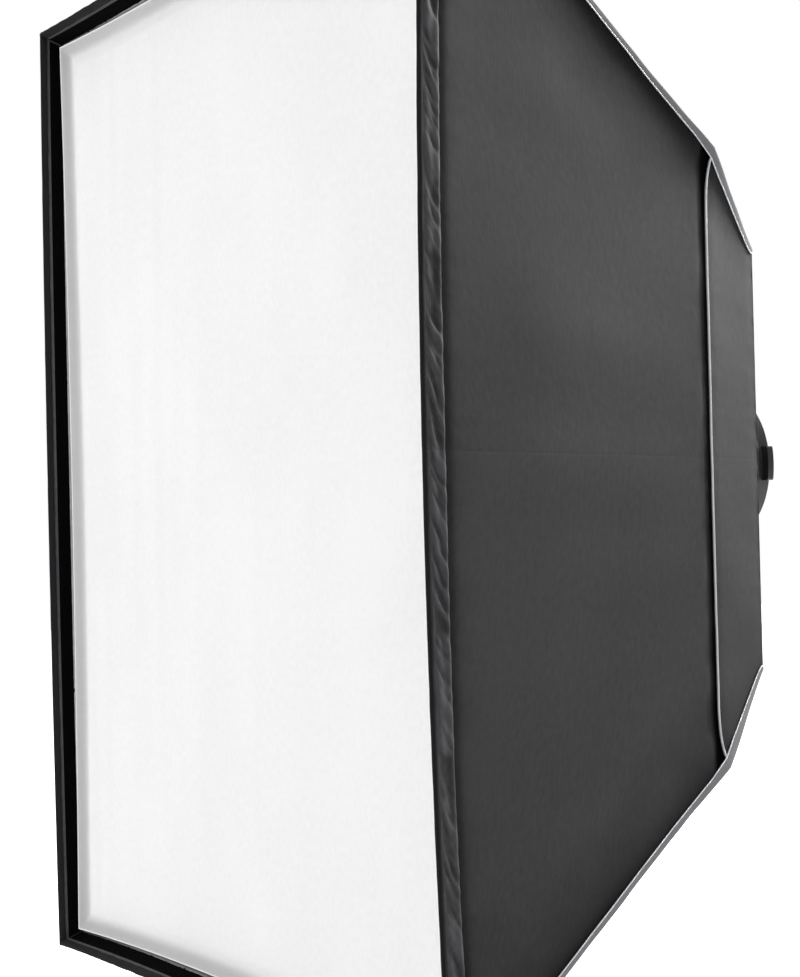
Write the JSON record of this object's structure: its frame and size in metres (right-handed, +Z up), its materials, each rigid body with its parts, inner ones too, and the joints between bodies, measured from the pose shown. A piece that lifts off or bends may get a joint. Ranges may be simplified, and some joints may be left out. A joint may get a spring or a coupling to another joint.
{
  "type": "studio softbox",
  "caption": "Square quick-folding fabric softbox with a recessed white diffuser, bowed rods and a round bayonet speed ring.",
  "frame": {"origin": "centre of the bayonet ring's bore, level with the speed ring's rear face", "axes": "+Y along the ring's axis, back to the lamp head; the lit front faces -Y; +Z up; +X to the right when looking along +Y"},
  "size_m": [1.2026, 0.679, 1.2026],
  "materials": {
    "black_cloth": "woven polyester, black outside and silver coated inside",
    "grey_tape": "grey binding tape with a silver woven edge",
    "silver_piping": "silver reflective piping cord",
    "white_diffuser": "white translucent diffusion cloth",
    "webbing": "black woven webbing and elastic",
    "hook_tape": "black hook tape",
    "black_aluminium": "satin black anodised aluminium",
    "moulded_nylon": "moulded glass-filled nylon, fine grain",
    "button_plastic": "moulded red-orange plastic",
    "spring_steel": "drawn spring steel",
    "plated_steel": "zinc plated steel"
  },
  "bodies": {
    "root": {"front_lip_right": "black_cloth", "side_panel_right": "black_cloth", "rear_panel_right": "black_cloth", "back_panel_right": "black_cloth", "front_lip_top": "black_cloth", "side_panel_top": "black_cloth", "rear_panel_top": "black_cloth", "back_panel_top": "black_cloth", "front_lip_left": "black_cloth", "side_panel_left": "black_cloth", "rear_panel_left": "black_cloth", "back_panel_left": "black_cloth", "front_lip_bottom": "black_cloth", "side_panel_bottom": "black_cloth", "rear_panel_bottom": "black_cloth", "back_panel_bottom": "black_cloth", "corner_tape_top_right": "grey_tape", "corner_tape_top_left": "grey_tape", "corner_tape_bottom_left": "grey_tape", "corner_tape_bottom_right": "grey_tape", "seam_piping": "silver_piping", "grid_tape": "hook_tape", "front_diffuser": "white_diffuser", "inner_diffuser": "white_diffuser", "diffuser_straps": "webbing", "back_collar": "black_cloth", "speed_ring": "black_aluminium", "clevis_brackets": "black_aluminium", "bracket_screws": "plated_steel", "clamp_plates": "black_aluminium", "clamp_screws": "plated_steel", "hinge_pins": "plated_steel"},
    "bayonet": {"bayonet_ring": "black_aluminium", "circlip": "plated_steel"},
    "lock": {"thumb_screw": "plated_steel", "lock_knob": "moulded_nylon"},
    "rod_top_right": {"rod_holder_top_right": "moulded_nylon", "rod_top_right": "spring_steel", "rod_tip_top_right": "moulded_nylon", "corner_pocket_top_right": "webbing", "button_spring_top_right": "plated_steel"},
    "button_top_right": {"release_button_top_right": "button_plastic"},
    "rod_top_left": {"rod_holder_top_left": "moulded_nylon", "rod_top_left": "spring_steel", "rod_tip_top_left": "moulded_nylon", "corner_pocket_top_left": "webbing", "button_spring_top_left": "plated_steel"},
    "button_top_left": {"release_button_top_left": "button_plastic"},
    "rod_bottom_left": {"rod_holder_bottom_left": "moulded_nylon", "rod_bottom_left": "spring_steel", "rod_tip_bottom_left": "moulded_nylon", "corner_pocket_bottom_left": "webbing", "button_spring_bottom_left": "plated_steel"},
    "button_bottom_left": {"release_button_bottom_left": "button_plastic"},
    "rod_bottom_right": {"rod_holder_bottom_right": "moulded_nylon", "rod_bottom_right": "spring_steel", "rod_tip_bottom_right": "moulded_nylon", "corner_pocket_bottom_right": "webbing", "button_spring_bottom_right": "plated_steel"},
    "button_bottom_right": {"release_button_bottom_right": "button_plastic"}
  },
  "joints": [
    {"name": "fold_top_right", "type": "hinge", "parent": "root", "child": "rod_top_right", "pos_m": [0.07778, -0.046, 0.07778], "axis": [0.7071, 0, -0.7071], "range_deg": [0, 50], "deforming": ["front_diffuser", "inner_diffuser", "diffuser_straps"]},
    {"name": "fold_top_left", "type": "hinge", "parent": "root", "child": "rod_top_left", "pos_m": [-0.07778, -0.046, 0.07778], "axis": [0.7071, 0, 0.7071], "range_deg": [0, 50], "deforming": ["front_diffuser", "inner_diffuser", "diffuser_straps"]},
    {"name": "fold_bottom_left", "type": "hinge", "parent": "root", "child": "rod_bottom_left", "pos_m": [-0.07778, -0.046, -0.07778], "axis": [-0.7071, 0, 0.7071], "range_deg": [0, 50], "deforming": ["front_diffuser", "inner_diffuser", "diffuser_straps"]},
    {"name": "fold_bottom_right", "type": "hinge", "parent": "root", "child": "rod_bottom_right", "pos_m": [0.07778, -0.046, -0.07778], "axis": [-0.7071, 0, -0.7071], "range_deg": [0, 50], "deforming": ["front_diffuser", "inner_diffuser", "diffuser_straps"]},
    {"name": "press_top_right", "type": "slide", "parent": "root", "child": "button_top_right", "axis": [0.7071, 0, -0.7071], "range_m": [0, 0.004], "stiffness_N_per_m": 800, "springref_m": -0.003, "deforming": ["button_spring_top_right"]},
    {"name": "press_top_left", "type": "slide", "parent": "root", "child": "button_top_left", "axis": [0.7071, 0, 0.7071], "range_m": [0, 0.004], "stiffness_N_per_m": 800, "springref_m": -0.003, "deforming": ["button_spring_top_left"]},
    {"name": "press_bottom_left", "type": "slide", "parent": "root", "child": "button_bottom_left", "axis": [-0.7071, 0, 0.7071], "range_m": [0, 0.004], "stiffness_N_per_m": 800, "springref_m": -0.003, "deforming": ["button_spring_bottom_left"]},
    {"name": "press_bottom_right", "type": "slide", "parent": "root", "child": "button_bottom_right", "axis": [-0.7071, 0, -0.7071], "range_m": [0, 0.004], "stiffness_N_per_m": 800, "springref_m": -0.003, "deforming": ["button_spring_bottom_right"]},
    {"name": "bayonet_turn", "type": "hinge", "parent": "root", "child": "bayonet", "pos_m": [0, 0, 0], "axis": [0, 1, 0], "continuous": true},
    {"name": "lock_turn", "type": "hinge", "parent": "root", "child": "lock", "pos_m": [0, -0.007, -0.095], "axis": [0, 0, -1], "range_deg": [-180, 180]}
  ],
  "couplings": [
    {"joint": "fold_top_left", "follows": "fold_top_right", "ratio": 1},
    {"joint": "fold_bottom_left", "follows": "fold_top_right", "ratio": 1},
    {"joint": "fold_bottom_right", "follows": "fold_top_right", "ratio": 1}
  ]
}
